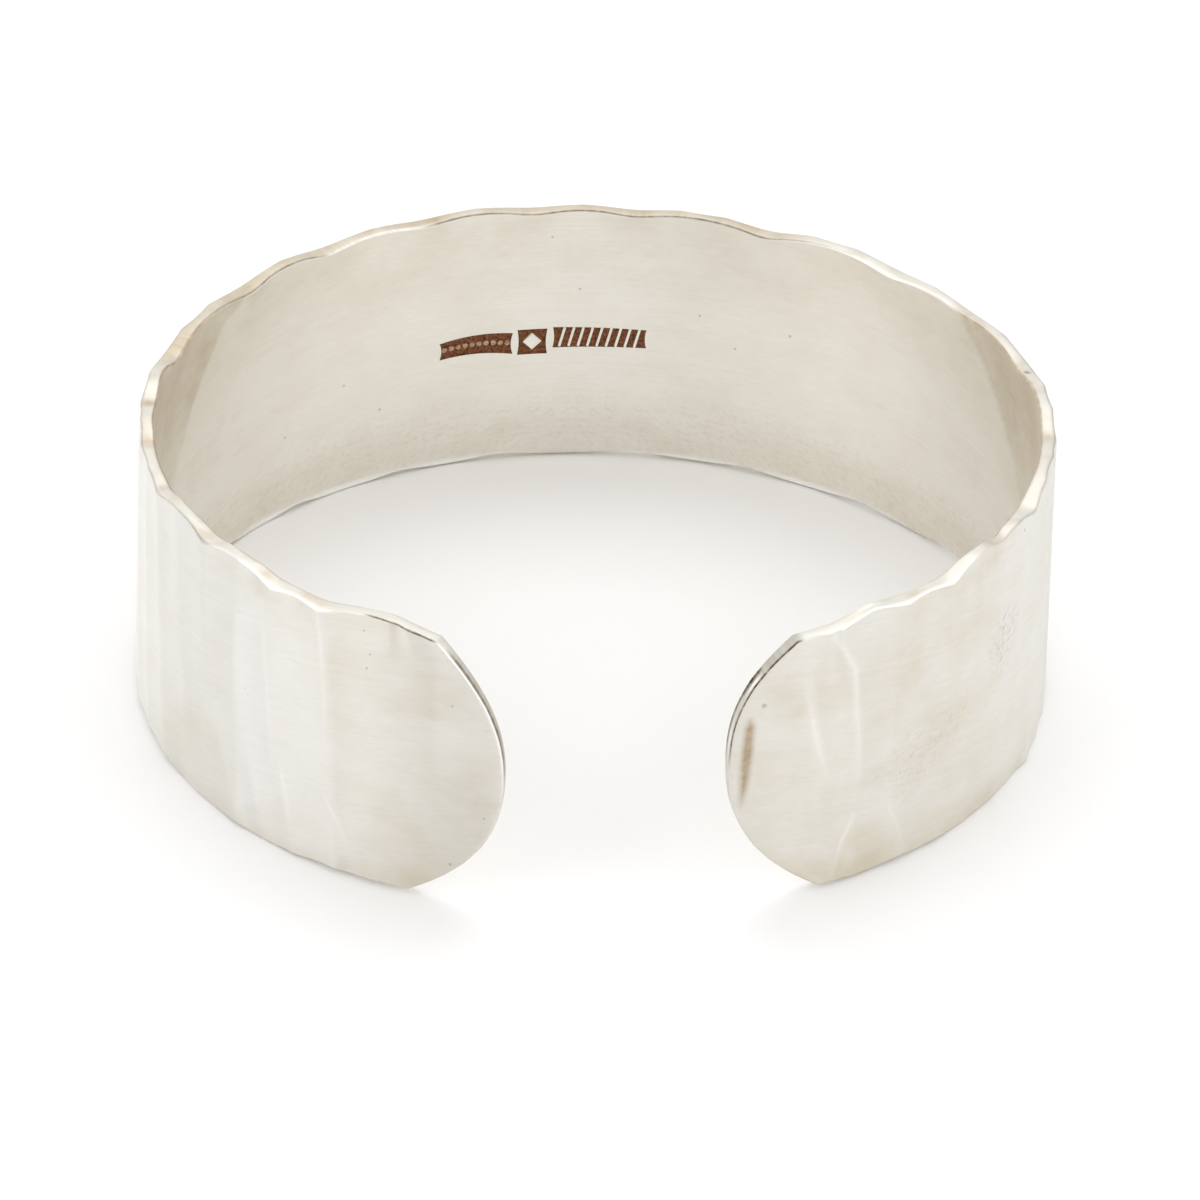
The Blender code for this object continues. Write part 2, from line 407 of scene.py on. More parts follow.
# %% Hammer the outer face
Crest = namedtuple("Crest", "height before after line")
CRESTS = [                  # sizes in mm; a line is (along, height) points from high to low
    Crest(0.075, 2.6, 3.4, [(-69.3, 20), (-70.3, 15), (-70.4, 10), (-70.5, 6)]),
    Crest(0.050, 1.6, 2.4, [(-63.0, 17), (-62.6, 12), (-62.9, 5), (-63.2, 1)]),
    Crest(0.035, 1.8, 1.8, [(-65.4, 20), (-65.8, 12), (-66.3, 6)]),
    Crest(0.030, 1.2, 1.2, [(-66.8, 8), (-67.4, 4), (-67.9, 1)]),
    Crest(0.035, 1.0, 1.6, [(-70.4, 7), (-71.5, 4.2), (-72.6, 2)]),
    Crest(0.020, 1.4, 1.8, [(-74.5, 7.5), (-73.2, 5.0), (-72.8, 2)]),
    Crest(0.025, 1.2, 1.2, [(-58.6, 19), (-58.9, 10), (-59.6, 2)]),
    Crest(0.020, 1.0, 1.2, [(-55.2, 19), (-55.4, 9), (-55.0, 1)]),
    Crest(0.065, 1.8, 1.3, [(75.8, 19.4), (74.6, 17.5), (73.8, 14.5), (73.5, 10), (73.9, 7)]),
    Crest(0.040, 1.6, 1.6, [(77.6, 18), (77.0, 14.5), (76.6, 12), (76.0, 8.5)]),
    Crest(0.060, 2.2, 1.0, [(73.9, 5.4), (74.9, 3.2), (75.4, 1)]),
    Crest(0.035, 1.4, 1.6, [(70.7, 20), (70.7, 13), (69.7, 9), (70.8, 4)]),
    Crest(0.035, 1.2, 1.0, [(72.7, 5), (71.1, 3.2), (70.0, 1)]),
    Crest(0.025, 1.6, 1.6, [(66.2, 19), (66.8, 11), (66.0, 3)]),
    Crest(0.025, 1.4, 1.6, [(62.4, 19), (62.0, 10), (61.8, 2)]),
    Crest(0.020, 1.2, 1.4, [(80.2, 10), (79.6, 5)]),
]
CREST_FADE = 1.5            # mm over which a crest ends
Planish = namedtuple("Planish", "start end high share")
PLANISHED = [               # where later blows have flattened the ridges between
    Planish(-80.5, -72.4, 17.5, 0.92),
    Planish(-69.4, -60.0, 18.0, 0.45),
    Planish(60.0, 69.5, 18.0, 0.40),
    Planish(78.0, 82.0, 18.0, 0.60),
]
PLANISH_FADE = 0.8
FLAT_FACE = 0.425           # mm from the middle of the wall
WAVER = 0.012               # mm, how uneven the face is
WAVER_CELL = (1.9, 3.4)     # mm along and up


def ramp(value, start, end):
    """0 before start, 1 after end, smooth between."""
    share = np.clip((value - start) / (end - start), 0, 1)
    return share * share * (3 - 2 * share)


def coordinates(piece, name="co"):
    """Places of a piece's points, or with "normal" their normals, as rows."""
    rows = np.empty(len(piece.data.vertices) * 3)
    piece.data.vertices.foreach_get(name, rows)
    return rows.reshape(-1, 3)


def facing_out(piece, along):
    """1 where a point's normal looks out of the oval, -1 where it looks in."""
    return (coordinates(piece, "normal")[:, :2] * outward(along)).sum(1)


def crest_rise(crest, along, height):
    tops = [place[1] for place in crest.line[::-1]]
    centre = np.interp(height, tops, [place[0] for place in crest.line[::-1]])
    away = along - centre
    share = np.where(away < 0, -away / crest.before, away / crest.after)
    rise = np.clip(1 - share, 0, 1) ** 2
    rise *= ramp(height, tops[0] - CREST_FADE, tops[0]) * ramp(height, tops[-1] + CREST_FADE, tops[-1])
    return crest.height * rise


def planish(spot, along, height, offset):
    """How far a flattened place has to move to lie level."""
    window = ramp(along, spot.start - PLANISH_FADE, spot.start + PLANISH_FADE)
    window *= ramp(along, spot.end + PLANISH_FADE, spot.end - PLANISH_FADE)
    window *= ramp(height, spot.high + 2 * PLANISH_FADE, spot.high)
    return spot.share * window * (FLAT_FACE - offset)


def waver(along, height):
    cell_along, cell_up = WAVER_CELL
    places = np.stack([along / cell_along, height / cell_up], 1)
    return WAVER * np.array([noise.noise((a, b, 0.5)) for a, b in places])


places = coordinates(cuff)
along, height, offset = (part / MM for part in strip_place(places))
lift = sum(crest_rise(crest, along, height) for crest in CRESTS) + waver(along, height)
lift += sum(planish(spot, along, height, offset) for spot in PLANISHED)
lift *= ramp(facing_out(cuff, along * MM), 0.3, 0.8)
places[:, :2] += outward(along * MM) * (lift * MM)[:, None]
cuff.data.vertices.foreach_set("co", places.ravel())
cuff.data.update()
print("crests:", len(CRESTS), "highest lift, mm:", round(float(lift.max()), 3))

# %% [markdown]
# The stamped panels
#
# The inside of the back carries a row of three small stamped panels, sunk into the silver and
# darkened. Here they hold plain ornament only. Each punch is made flat on the strip, as a
# slightly pinched plate. Then it is bent to the oval and cut out of the cuff.

# %% Make the punches
Panel = namedtuple("Panel", "name left right low high arch pinch slope")
PANELS = [                  # mm on the strip
    Panel("long_panel", -9.55, -4.30, 8.75, 10.25, 0.22, 0.14, -0.12),
    Panel("square_panel", -3.98, -1.88, 8.45, 10.45, 0.0, 0.10, 0.0),
    Panel("ribbed_panel", -1.50, 5.00, 8.95, 10.50, 0.0, 0.10, 0.06),
]
INNER_FACE = -0.46          # mm from the middle of the wall
SUNK = 0.13                 # mm, how deep a panel is
FLOOR = INNER_FACE + SUNK
PUNCH_BODY = 0.4            # mm of the punch that stays clear of the silver
PANEL_STEPS = 24


def plate(panel):
    """The outline of a panel, as a thick plate on the flat strip."""
    wide = (panel.right - panel.left) / 2
    tall = (panel.high - panel.low) / 2
    bpy.ops.mesh.primitive_grid_add(
        x_subdivisions=PANEL_STEPS, y_subdivisions=6, size=2, rotation=(math.pi / 2, 0, 0)
    )
    piece = bpy.context.object
    bpy.ops.object.transform_apply(location=False, rotation=True, scale=False)
    for point in piece.data.vertices:
        u = point.co.x
        v = point.co.z
        x = wide * u - panel.pinch * u * abs(u) ** 3 * (1 - v * v)
        z = tall * v * (1 - panel.slope * u) + panel.arch * (1 - u * u)
        x += (panel.left + panel.right) / 2
        z += (panel.low + panel.high) / 2 - panel.arch / 2
        point.co = Vector((x, INNER_FACE - PUNCH_BODY, z)) * MM
    bpy.ops.object.mode_set(mode="EDIT")
    bpy.ops.mesh.select_all(action="SELECT")
    bpy.ops.mesh.extrude_region_move(TRANSFORM_OT_translate={"value": (0, (PUNCH_BODY + SUNK) * MM, 0)})
    bpy.ops.mesh.select_all(action="SELECT")
    bpy.ops.mesh.normals_make_consistent(inside=False)
    bpy.ops.object.mode_set(mode="OBJECT")
    piece.name = panel.name
    return piece


def cut(piece, tool):
    """Cut a tool out of a piece and throw the tool away."""
    cutting = piece.modifiers.new("cut", "BOOLEAN")
    cutting.operation = "DIFFERENCE"
    cutting.solver = "EXACT"
    cutting.material_mode = "TRANSFER"
    cutting.object = tool
    apply_all(piece)
    bpy.data.objects.remove(tool, do_unlink=True)


def bend_on_oval(piece):
    """Bend what lies on the flat strip (x along, y out of it, z up) round the oval."""
    for point in piece.data.vertices:
        x, y, z = point.co
        point.co = oval_point(x, z, y)


print("panels:", [panel.name for panel in PANELS])

# %% [markdown]
# What stands in the panels
#
# The long panel holds a row of small round pips that stay below the surface, so they are only
# half polished. The square one holds a silver lozenge, and the last one a row of slanted ribs,
# like the edge of a coin. All are small blocks that stand on the sunk floor.

# %% Make the ornaments
ROOT = 0.1                  # mm that an ornament reaches under the floor
PIP_RADIUS = 0.19
PIP_RISE = 0.11
PIPS = 10
LOZENGE = 0.46              # mm, half a side
RIBS = 9
RIB_HALF = 0.085
RIB_SLANT = math.radians(14)
SOFT_EDGE = 0.03


def stand_on_floor(piece, x, z, half_wide, half_tall, turn, rise):
    """Give a unit piece its size, turn it on the strip, and stand it on a panel's floor."""
    bpy.ops.object.transform_apply(location=False, rotation=True, scale=False)
    for point in piece.data.vertices:
        wide = point.co.x * half_wide
        tall = point.co.z * half_tall
        depth = FLOOR + (ROOT if point.co.y > 0 else -rise)
        across = wide * math.cos(turn) - tall * math.sin(turn) + x
        up = wide * math.sin(turn) + tall * math.cos(turn) + z
        point.co = Vector((across, depth, up)) * MM
    soften = piece.modifiers.new("soften", "BEVEL")
    soften.width = SOFT_EDGE * MM
    soften.segments = 2
    apply_all(piece)
    bend_on_oval(piece)
    return piece


def pips(panel):
    for k in range(PIPS):
        share = (k + 0.75) / (PIPS + 0.5)
        x = panel.left + (panel.right - panel.left) * share
        u = 2 * share - 1
        z = (panel.low + panel.high) / 2 + panel.arch * (1 - u * u) - panel.arch / 2
        bpy.ops.mesh.primitive_cylinder_add(vertices=12, rotation=(math.pi / 2, 0, 0))
        yield stand_on_floor(bpy.context.object, x, z, PIP_RADIUS, PIP_RADIUS, 0.0, PIP_RISE)


def lozenge(panel):
    x = (panel.left + panel.right) / 2
    z = (panel.low + panel.high) / 2
    bpy.ops.mesh.primitive_cube_add()
    yield stand_on_floor(bpy.context.object, x, z, LOZENGE, LOZENGE, math.pi / 4, SUNK)


def ribs(panel):
    z = (panel.low + panel.high) / 2
    for k in range(RIBS):
        x = panel.left + (panel.right - panel.left) * (k + 1) / (RIBS + 1)
        bpy.ops.mesh.primitive_cube_add()
        yield stand_on_floor(
            bpy.context.object, x, z, RIB_HALF, (panel.high - panel.low) / 2, -RIB_SLANT, SUNK
        )


print("ornaments:", PIPS, "pips, a lozenge and", RIBS, "ribs")

# %% [markdown]
# Faces by side
#
# The outer face, the inner face and the narrow rim were worked with different tools, so each
# gets its own finish. Their silvers also differ in lightness as painted light and shade. A face
# belongs to the side that its normal looks to.

# %% Sort the faces
OUTER, INNER, RIM = range(3)
SIDE_LOOK = 0.62            # how squarely a face looks out or in before it counts as rim


def sort_faces(piece):
    """The side of every face, by where its normal looks."""
    count = len(piece.data.polygons)
    centres = np.empty(count * 3)
    normals = np.empty(count * 3)
    piece.data.polygons.foreach_get("center", centres)
    piece.data.polygons.foreach_get("normal", normals)
    along = strip_place(centres.reshape(-1, 3))[0]
    looks = (normals.reshape(-1, 3)[:, :2] * outward(along)).sum(1)
    sides = np.full(count, RIM)
    sides[looks > SIDE_LOOK] = OUTER
    sides[looks < -SIDE_LOOK] = INNER
    return sides


sides = sort_faces(cuff)
print("faces outside, inside, on the rim:", [int((sides == k).sum()) for k in range(3)])

# %% [markdown]
# Brushed silver
#
# Fine emery leaves short scratches that run along the strip. They spread a reflection up and
# down but hardly sideways, which anisotropy gives. Noise that is stretched along the strip
# varies the colour and tilts the surface a little. Painted layers lie over it: a warm film that
# also carries painted shade and light, tan smudges, dark brown, flecks, and gleams, which are
# painted highlights on the edges.

# %% Mix the colours
# Painted light and shade: the outer and rim silver are darkened and the inner silver lightened, so that
# each face comes out at its tone under these lights.
SHADED_OUTER_SILVER = (0.818, 0.814, 0.786, 1)
LIT_INNER_SILVER = (0.908, 0.882, 0.822, 1)
SHADED_RIM_SILVER = (0.765, 0.757, 0.715, 1)
FILM_AND_SHADE = (0.700, 0.640, 0.525, 1)
TAN = (0.520, 0.390, 0.265, 1)
BROWN = (0.095, 0.062, 0.036, 1)
GOLDEN = (0.370, 0.245, 0.110, 1)
OLIVE = (0.230, 0.180, 0.105, 1)
# Painted highlight colour of the gleams and the crest lines.
PAINTED_GLEAM = (1.0, 1.0, 0.985, 1)
print("silver outside, inside and on the rim:", SHADED_OUTER_SILVER[:3], LIT_INNER_SILVER[:3], SHADED_RIM_SILVER[:3])

# %% Make the finish helper
LINE_REACH = 8.0            # mm along the strip that a line may wander
Grain = namedtuple("Grain", "per_mm_along per_mm_up detail roughness")


class Finish(Nodes):
    """A material of silver or of what darkens it."""

    def __init__(self, name):
        self.material = bpy.data.materials.new(name)
        self.material.use_nodes = True
        super().__init__(self.material.node_tree)
        self.shader = self.tree.nodes["Principled BSDF"].inputs

    def grain(self, grain, turn=0.0):
        """Noise on the strip laid flat. The right half mirrors the left, and so do the scratches."""
        flat = self.add("VectorMath", self.add("UVMap", uv_map="strip"), operation="ABSOLUTE")
        turned = self.add("VectorRotate", flat, rotation_type="Z_AXIS")
        turned.node.inputs["Angle"].default_value = turn
        mapping = self.tree.nodes.new("ShaderNodeMapping")
        mapping.inputs["Scale"].default_value = (grain.per_mm_along / MM, grain.per_mm_up / MM, 1)
        self.fill(mapping.inputs["Vector"], turned)
        node = self.tree.nodes.new("ShaderNodeTexNoise")
        node.inputs["Scale"].default_value = 1.0
        node.inputs["Detail"].default_value = grain.detail
        node.inputs["Roughness"].default_value = grain.roughness
        self.fill(node.inputs["Vector"], mapping.outputs["Vector"])
        return node.outputs["Fac"]

    def painted(self, name):
        return self.add("Attribute", attribute_name=name, result="Fac")

    def bump(self, height, distance, under=None):
        node = self.tree.nodes.new("ShaderNodeBump")
        node.inputs["Strength"].default_value = 1.0
        node.inputs["Distance"].default_value = distance
        self.fill(node.inputs["Height"], height)
        if under is not None:
            self.fill(node.inputs["Normal"], under)
        return node.outputs["Normal"]

    def brushed(self, anisotropy):
        """Spread reflections up and down, across the scratches."""
        tangent = self.add("Tangent", direction_type="UV_MAP", uv_map="strip")
        self.fill(self.shader["Tangent"], tangent)
        self.shader["Anisotropic"].default_value = anisotropy
        self.shader["Anisotropic Rotation"].default_value = 0.25

    def crest_line(self, line):
        """A thin line drawn through (along, height, strength) points."""
        split = self.tree.nodes.new("ShaderNodeSeparateXYZ")
        self.fill(split.inputs[0], self.add("UVMap", uv_map="strip"))
        along, height = split.outputs[0], split.outputs[1]
        route = self.tree.nodes.new("ShaderNodeValToRGB")
        stops = route.color_ramp.elements
        left = min(point[0] for point in line.points)
        upwards = sorted(line.points, key=lambda point: point[1])
        for k, (place, rise, strength) in enumerate(upwards):
            stop = stops[k] if k < 2 else stops.new(1.0)
            stop.position = rise * MM / BAND
            stop.color = grey((place - left) / LINE_REACH)
            stop.alpha = strength
        self.fill(route.inputs["Fac"], self.spread(height, 0.0, BAND, 0.0, 1.0))
        centre = self.spread(route.outputs["Color"], 0.0, 1.0, left * MM, (left + LINE_REACH) * MM)
        away = self.add("Math", self.math("SUBTRACT", along, centre), operation="ABSOLUTE")
        near = self.spread(away, 0.0, line.width * MM, 1.0, 0.0)
        return self.math("MULTIPLY", self.math("MULTIPLY", near, near), route.outputs["Alpha"])

    def speck(self, place):
        """A small dark spot."""
        middle = (place.along * MM, place.height * MM, 0)
        flat = self.add("UVMap", uv_map="strip")
        away = self.add("VectorMath", flat, middle, operation="DISTANCE", result=1)
        return self.spread(away, place.size * 0.5 * MM, place.size * MM, 1.0, 0.0)


print("a finish can do:", [name for name in vars(Finish) if not name.startswith("_")])

# %% [markdown]
# Painted highlight lines, specks and a stain
#
# Where two blows meet, a thin pale line is painted along the top of the crest as a painted
# highlight.
# The points of the skin lie too far apart to paint it, so the shader draws it through a few
# places on the strip. The pits and the long tan stain on the right tip are drawn there too.

# %% List the lines and specks
CrestLine = namedtuple("CrestLine", "width points")
# Painted highlights along the tops of crests.
HIGHLIGHT_LINES = [                   # (along, height, strength); bright lines on the tops of crests
    CrestLine(0.55, [(75.6, 19.0, 0.5), (74.7, 17.6, 0.8), (74.0, 16.3, 0.9), (73.8, 13.5, 0.8),
                     (73.5, 10.4, 0.7), (73.5, 6.5, 0.0)]),
    CrestLine(0.80, [(77.7, 17.8, 0.0), (77.2, 14.5, 0.6), (76.8, 12.4, 0.8), (76.3, 10.5, 0.8),
                     (75.4, 7.0, 0.0)]),
    CrestLine(0.36, [(73.7, 5.4, 0.0), (74.0, 4.4, 0.7), (74.6, 3.1, 0.8), (75.2, 0.6, 0.0)]),
    CrestLine(0.40, [(70.9, 5.4, 0.0), (70.8, 4.2, 0.5), (70.2, 3.0, 0.5), (69.5, 0.4, 0.0)]),
    CrestLine(0.40, [(-70.3, 6.2, 0.0), (-70.8, 5.0, 0.6), (-71.5, 4.0, 0.6), (-72.3, 2.0, 0.0)]),
    CrestLine(0.40, [(-67.0, 7.0, 0.0), (-67.1, 5.6, 0.6), (-67.5, 3.9, 0.6), (-67.9, 1.4, 0.0)]),
    CrestLine(0.45, [(-65.2, 19.0, 0.0), (-65.4, 15.0, 0.5), (-65.8, 10.6, 0.5), (-66.3, 5.0, 0.0)]),
    CrestLine(0.40, [(-69.6, 19.8, 0.3), (-70.0, 17.0, 0.6), (-70.3, 13.5, 0.5), (-70.5, 8.6, 0.0)]),
]
STAIN = CrestLine(0.76, [(81.2, 14.6, 0.0), (81.2, 13.6, 0.75), (81.3, 12.0, 0.95), (81.4, 10.4, 0.8),
                         (81.5, 9.0, 0.55), (81.7, 7.2, 0.0)])
Speck = namedtuple("Speck", "along height size")
OUTER_SPECKS = [Speck(-73.5, 17.4, 0.10), Speck(-73.3, 16.3, 0.12), Speck(-79.1, 15.0, 0.12),
                Speck(-79.2, 3.0, 0.12), Speck(-81.3, 6.9, 0.10), Speck(-63.7, 10.8, 0.08),
                Speck(-73.0, 19.0, 0.10), Speck(80.3, 15.1, 0.22), Speck(57.2, 18.9, 0.16)]
INNER_SPECKS = [Speck(-1.7, 17.8, 0.12), Speck(0.3, 13.6, 0.12), Speck(15.3, 11.9, 0.14),
                Speck(-16.9, 8.6, 0.12), Speck(-14.0, 5.8, 0.14), Speck(-22.0, 6.3, 0.12),
                Speck(8.7, 12.1, 0.12), Speck(11.3, 9.9, 0.12)]
print("bright lines:", len(HIGHLIGHT_LINES), "specks:", len(OUTER_SPECKS) + len(INNER_SPECKS))

# %% [markdown]
# The worked silver
#
# The three finishes have the same layers and differ in how they were rubbed. Their silver
# colours also differ as painted light and shade: darker outside and on the rim, lighter inside.
# First comes the silver under its film and painted shade, then the tarnish, then the painted
# highlights. Noise of five grains keeps the layers from looking sprayed: short dashes and long
# streaks along the strip, clouds in the film, grime that makes the smudges ragged, and slanted
# scratches in the flecks.

# %% Lay the film over the silver
DASHES = Grain(0.9, 7.0, 2.0, 0.6)
STREAKS = Grain(0.07, 3.2, 3.0, 0.6)
CLOUDS = Grain(0.22, 0.30, 5.0, 0.62)
GRIME = Grain(1.3, 1.9, 4.0, 0.65)
SCRATCHES = Grain(1.6, 3.4, 5.0, 0.75)
SCRATCH_TURN = 0.6          # radians
Look = namedtuple("Look", "silver roughness anisotropy brush slant")
LOOKS = {                   # brush is how deep the scratches are
    "outer_silver": Look(SHADED_OUTER_SILVER, 0.45, 0.88, 1.0, math.radians(-9)),
    "inner_silver": Look(LIT_INNER_SILVER, 0.42, 0.75, 0.9, 0.0),
    "rim_silver": Look(SHADED_RIM_SILVER, 0.58, 0.2, 0.6, 0.0),
}


def film_over(finish, look, dashes, streaks):
    """The silver under its film and painted shade, which the scratches and clouds make uneven."""
    clouds = finish.grain(CLOUDS)
    short = finish.spread(dashes, 0.30, 0.72, -0.07 * look.brush, 0.11 * look.brush)
    long = finish.spread(streaks, 0.36, 0.72, -0.02 * look.brush, 0.07 * look.brush)
    film = finish.math("MULTIPLY", finish.painted("film"), finish.spread(clouds, 0.3, 0.7, 0.6, 1.4))
    film = finish.math("ADD", film, finish.math("ADD", short, long))
    film = finish.math("ADD", film, finish.spread(clouds, 0.45, 0.75, 0.0, 0.10))
    return finish.mix(film, look.silver, FILM_AND_SHADE)


print("looks:", list(LOOKS))

# %% Lay the tarnish over the film
SPECK_STRENGTH = 0.34


def tarnish_over(finish, colour, specks, stains):
    """Tan smudges, scratches, dark browns with the specks, and golden stains."""
    grime = finish.grain(GRIME)
    ragged = finish.spread(grime, 0.32, 0.66, 0.55, 1.25)
    colour = finish.mix(finish.math("MULTIPLY", finish.painted("tan"), ragged), colour, TAN)
    scratches = finish.spread(finish.grain(SCRATCHES, SCRATCH_TURN), 0.50, 0.74, 0.0, 0.8)
    colour = finish.mix(finish.math("MULTIPLY", finish.painted("flecks"), scratches), colour, OLIVE)
    ragged = finish.spread(grime, 0.3, 0.6, 0.6, 1.2)
    brown = finish.math("MULTIPLY", finish.painted("brown"), ragged)
    for place in specks:
        spot = finish.math("MULTIPLY", finish.speck(place), SPECK_STRENGTH)
        brown = finish.math("MAXIMUM", brown, spot)
    colour = finish.mix(brown, colour, BROWN)
    for stain in stains:
        ragged = finish.spread(grime, 0.3, 0.55, 0.7, 1.0)
        drawn = finish.spread(finish.crest_line(stain), 0.05, 0.55, 0.0, 0.74)
        colour = finish.mix(finish.math("MULTIPLY", drawn, ragged), colour, GOLDEN)
    return colour


print("specks are mixed in at", SPECK_STRENGTH)

# %% Make the silver finishes
LINE_STRENGTH = 0.50
DASH_DEPTH = 0.0016         # mm
STREAK_DEPTH = 0.0014       # mm


def shine_over(finish, colour, gleam, dashes, highlight_lines):
    """Painted highlights: the gleams on the corners and the bright lines on the crests, which the
    scratches break up.
    """
    shine = gleam
    for line in highlight_lines:
        broken = finish.spread(dashes, 0.3, 0.6, 0.35 * LINE_STRENGTH, LINE_STRENGTH)
        shine = finish.math("MAXIMUM", shine, finish.math("MULTIPLY", finish.crest_line(line), broken))
    return finish.mix(shine, colour, PAINTED_GLEAM)


def worked_silver(name, highlight_lines=(), specks=(), stains=()):
    look = LOOKS[name]
    finish = Finish(name)
    finish.shader["Metallic"].default_value = 1.0
    dashes = finish.grain(DASHES, look.slant)
    streaks = finish.grain(STREAKS, look.slant)
    gleam = finish.painted("gleam")
    colour = film_over(finish, look, dashes, streaks)
    colour = tarnish_over(finish, colour, specks, stains)
    # Painted highlights on the corners and along the crests.
    colour = shine_over(finish, colour, gleam, dashes, highlight_lines)
    finish.fill(finish.shader["Base Color"], colour)

    rough = finish.spread(streaks, 0.25, 0.75, look.roughness - 0.03, look.roughness + 0.04)
    rough = finish.math("MULTIPLY", rough, finish.spread(gleam, 0.0, 1.0, 1.0, 0.45))
    finish.fill(finish.shader["Roughness"], rough)
    normal = finish.bump(dashes, DASH_DEPTH * MM * look.brush)
    normal = finish.bump(streaks, STREAK_DEPTH * MM * look.brush, normal)
    finish.fill(finish.shader["Normal"], normal)
    finish.brushed(look.anisotropy)
    return finish.material


for material in (
    worked_silver("outer_silver", HIGHLIGHT_LINES, OUTER_SPECKS, [STAIN]),
    worked_silver("inner_silver", specks=INNER_SPECKS),
    worked_silver("rim_silver"),
):
    cuff.data.materials.append(material)
cuff.data.polygons.foreach_set("material_index", sides)
cuff.data.update()
print("finishes:", [material.name for material in cuff.data.materials])

# %% Make the brown oxide
OXIDE_DEEP = (0.040, 0.015, 0.006, 1)
OXIDE_PALE = (0.30, 0.112, 0.045, 1)
WORN_DEEP = (0.26, 0.14, 0.08, 1)
WORN_PALE = (0.60, 0.42, 0.28, 1)
OXIDE_GRAIN = Grain(5.0, 5.0, 4.0, 0.7)
OXIDE_DEPTH = 0.03          # mm


def oxide_brown(name, deep, pale):
    """Liver-brown oxide that was left in the panels when the silver was polished."""
    finish = Finish(name)
    grain = finish.grain(OXIDE_GRAIN)
    shade = finish.spread(grain, 0.36, 0.66, 0.0, 1.0)
    finish.fill(finish.shader["Base Color"], finish.mix(shade, deep, pale))
    finish.shader["Metallic"].default_value = 0.1
    finish.shader["Specular IOR Level"].default_value = 0.2
    finish.shader["Roughness"].default_value = 0.6
    finish.fill(finish.shader["Normal"], finish.bump(grain, OXIDE_DEPTH * MM))
    return finish.material


oxide = oxide_brown("oxide_brown", OXIDE_DEEP, OXIDE_PALE)
worn = oxide_brown("worn_brown", WORN_DEEP, WORN_PALE)
print("browns:", oxide.name, worn.name)

# %% [markdown]
# Strike the panels
#
# A punch brings its own dark finish along, and the faces that it cuts keep it, so the floors
# and walls of the panels are brown and the silver around them stays bright. The ornaments are
# joined to the cuff afterwards. A cut splits the long faces round a panel and would spoil the
# way they shade, so a copy that was never cut lends the surface its own shading.

# %% Strike the panels into the back
SHARP = math.radians(35)
SURFACE_FADE = 0.04         # mm under the surface that still shades like it
LENT_BESIDE = 2             # mm to the left and right of the panels
LENT_HEIGHTS = (6, 13)      # mm, around the panels
only(cuff)
bpy.ops.object.shade_smooth_by_angle(angle=SHARP)
bpy.ops.object.duplicate()
uncut = bpy.context.object
inner_silver = cuff.data.materials[INNER]
for panel in PANELS:
    punch = plate(panel)
    bend_on_oval(punch)
    punch.data.materials.append(oxide)
    cut(cuff, punch)
pieces = []
for panel, ornament, finish in zip(PANELS, (pips, lozenge, ribs), (worn, inner_silver, inner_silver)):
    for piece in ornament(panel):
        piece.data.materials.append(finish)
        pieces.append(piece)
only(cuff)
for piece in pieces:
    piece.select_set(True)
bpy.ops.object.join()
print("ornaments joined:", len(pieces))
only(cuff)
bpy.ops.object.shade_smooth_by_angle(angle=SHARP)
along, height, offset = (part / MM for part in strip_place(coordinates(cuff)))
near = (along > PANELS[0].left - LENT_BESIDE) & (along < PANELS[-1].right + LENT_BESIDE)
near &= (height > LENT_HEIGHTS[0]) & (height < LENT_HEIGHTS[1])
near &= offset < INNER_FACE + SURFACE_FADE
surface = cuff.vertex_groups.new(name="surface")
surface.add(np.flatnonzero(near).tolist(), 1.0, "REPLACE")
lend = cuff.modifiers.new("lend", "DATA_TRANSFER")
lend.object = uncut
lend.use_loop_data = True
lend.data_types_loops = {"CUSTOM_NORMAL"}
lend.loop_mapping = "POLYINTERP_NEAREST"
lend.vertex_group = surface.name
apply_all(cuff)
cuff.vertex_groups.clear()
bpy.data.objects.remove(uncut, do_unlink=True)
print("points that shade like the surface:", int(near.sum()))
print("after stamping:", len(cuff.data.polygons), "faces,", [m.name for m in cuff.data.materials])

# %% [markdown]
# Lay the strip out flat
#
# The scratches follow the bent strip, so the finishes need a map that is the strip laid flat.
# Its coordinates are metres along the strip and metres up.

# %% Lay the strip out flat
def lay_out_flat(piece):
    along, height, offset = strip_place(coordinates(piece))
    corners = np.empty(len(piece.data.loops), dtype=int)
    piece.data.loops.foreach_get("vertex_index", corners)
    flat = piece.data.uv_layers.new(name="strip")
    flat.data.foreach_set("uv", np.stack([along[corners], height[corners]], 1).ravel())


lay_out_flat(cuff)
print("maps:", [layer.name for layer in cuff.data.uv_layers])

# %% [markdown]
# Brushes
#
# Silver darkens first where a cloth doesn't reach: in the nicks of the rim, along the corners
# of the edges and towards the tips. The layers are painted by place on the strip, point by
# point, and some of them carry painted shade, painted light and painted highlights as well. A
# dab is a soft spot, a patch fills an outline, and a corner brush follows the filed edges
# between the faces and the rim.

# %% Make the brushes
Dab = namedtuple("Dab", "along height offset length rise depth strength")
Patch = namedtuple("Patch", "strength soft outline")
CORNER_LOOK = 0.62          # how far outwards a filed corner looks, between rim 0 and face 1
CORNER_WIDTH = 0.26

along, height, offset = (part / MM for part in strip_place(coordinates(cuff)))
looks = facing_out(cuff, along * MM)
looks_up = coordinates(cuff, "normal")[:, 2]
outside = ramp(looks, 0.45, 0.8)
inside = ramp(looks, -0.45, -0.8)
on_rim = 1 - outside - inside


def dab(spot):
    """A soft spot, with its size along the strip, up it and through the wall."""
    far = ((along - spot.along) / spot.length) ** 2
    far += ((height - spot.height) / spot.rise) ** 2
    far += ((offset - spot.offset) / spot.depth) ** 2
    return spot.strength * np.exp(-far)


